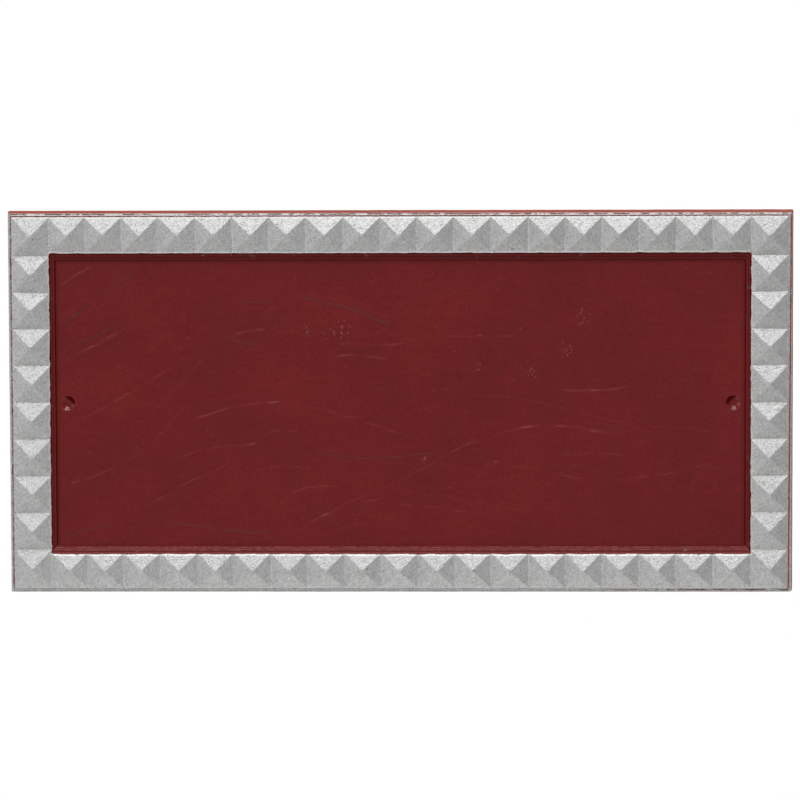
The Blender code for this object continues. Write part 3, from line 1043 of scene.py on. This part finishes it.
# The photograph's viewpoint: distance, turns and aim of the camera, and its long lens
CAMERA_DISTANCE = 2.581
CAMERA_PITCH = math.radians(5.296)
CAMERA_YAW = math.radians(-1.671)
CAMERA_ROLL = math.radians(0.211)
AIM_ACROSS = 0.06 * MM
AIM_UP = 1.65 * MM
LENS = 225.0
SENSOR = 36.0

# The studio's soft lamps: name, place, watts, width and depth
LAMPS = (
    ("overhead_light", (0.0, -2.4, 3.85), 128.0, 3.4, 3.6),
    ("small_light", (0.0, -0.45, 0.75), 0.45, 0.05, 0.05),
    ("left_light", (-2.4, -0.9, 0.5), 10.2, 1.4, 1.4),
    ("low_light", (0.0, -0.11, -0.40), 0.34, 0.65, 0.2),
)

# The light from all round, the white behind the plaque, and the floor
AMBIENT = (0.262, 0.262, 0.262, 1.0)
BACKDROP = (1.0, 1.0, 1.0, 1.0)
FLOOR_HALF = 2.5
FLOOR_LEVEL = -1.1
FLOOR_DARKER = (0.74, 0.74, 0.73, 1.0)
FLOOR_LIGHTER = (0.80, 0.80, 0.79, 1.0)


def make_camera():
    """A camera in front of the plaque, a little above it and to its left."""
    turn = (
        Matrix.Rotation(CAMERA_ROLL, 3, "Z")
        @ Matrix.Rotation(CAMERA_PITCH, 3, "X")
        @ Matrix.Rotation(CAMERA_YAW, 3, "Y")
    )
    place = turn.transposed() @ Vector((AIM_ACROSS, AIM_UP, CAMERA_DISTANCE))
    stand = Matrix.Rotation(math.pi / 2, 3, "X")
    data = bpy.data.cameras.new("photo_view")
    data.lens = LENS
    data.sensor_width = SENSOR
    data.clip_start = 0.05
    data.clip_end = 50.0
    camera = bpy.data.objects.new("photo_view", data)
    bpy.context.scene.collection.objects.link(camera)
    camera.matrix_world = Matrix.Translation((0, -BODY_DEPTH, 0)) @ (
        Matrix.Translation(stand @ place) @ (stand @ turn.transposed()).to_4x4()
    )
    bpy.context.scene.camera = camera


def make_light(name, place, watts, width, depth):
    """A soft rectangular light that faces the plaque."""
    data = bpy.data.lights.new(name, "AREA")
    data.shape = "RECTANGLE"
    data.size = width
    data.size_y = depth
    data.energy = watts
    light = bpy.data.objects.new(name, data)
    light.location = place
    light.rotation_mode = "QUATERNION"
    light.rotation_quaternion = (-Vector(place)).to_track_quat("-Z", "Y")
    bpy.context.scene.collection.objects.link(light)


def make_floor():
    """A pale, faintly mottled floor well below the plaque."""
    half, level = FLOOR_HALF, FLOOR_LEVEL
    corners = [(-half, -half, level), (half, -half, level), (half, half, level), (-half, half, level)]
    mesh = bpy.data.meshes.new("studio_floor")
    mesh.from_pydata(corners, [], [(0, 1, 2, 3)])
    floor = bpy.data.objects.new("studio_floor", mesh)
    bpy.context.scene.collection.objects.link(floor)
    paint = Paint("pale_floor")
    mottle = paint.noise(0.6, 3.0, 0.5)
    colour = paint.ramp(mottle, ((0.3, FLOOR_DARKER), (0.7, FLOOR_LIGHTER)))
    floor.data.materials.append(paint.close({"Base Color": colour, "Roughness": 0.8}, 0.2 * MM * mottle))


def make_world():
    """Even light from all round, and white where the camera looks past the plaque."""
    world = bpy.data.worlds.new("studio")
    bpy.context.scene.world = world
    world.use_nodes = True
    tree = world.node_tree
    tree.nodes.clear()
    path = tree.nodes.new("ShaderNodeLightPath")
    mix = tree.nodes.new("ShaderNodeMix")
    mix.data_type = "RGBA"
    mix.inputs[6].default_value = AMBIENT
    mix.inputs[7].default_value = BACKDROP
    background = tree.nodes.new("ShaderNodeBackground")
    output = tree.nodes.new("ShaderNodeOutputWorld")
    tree.links.new(path.outputs["Is Camera Ray"], mix.inputs[0])
    tree.links.new(mix.outputs[2], background.inputs["Color"])
    tree.links.new(background.outputs[0], output.inputs["Surface"])


def make_studio():
    """Floor, lamps and surroundings, with colours shown as they are."""
    make_floor()
    for lamp in LAMPS:
        make_light(*lamp)
    make_world()
    bpy.context.scene.view_settings.view_transform = "Standard"


make_camera()
make_studio()
finish_piece(border_piece(), painted("silver_paint", border_mask, rim_worn))
finish_piece(field_piece(), painted("red_enamel", field_mask))
finish_piece(edge_piece(), painted("red_edge", edge_mask, top_edge_highlight))
finish_piece(back_piece(), back_material())
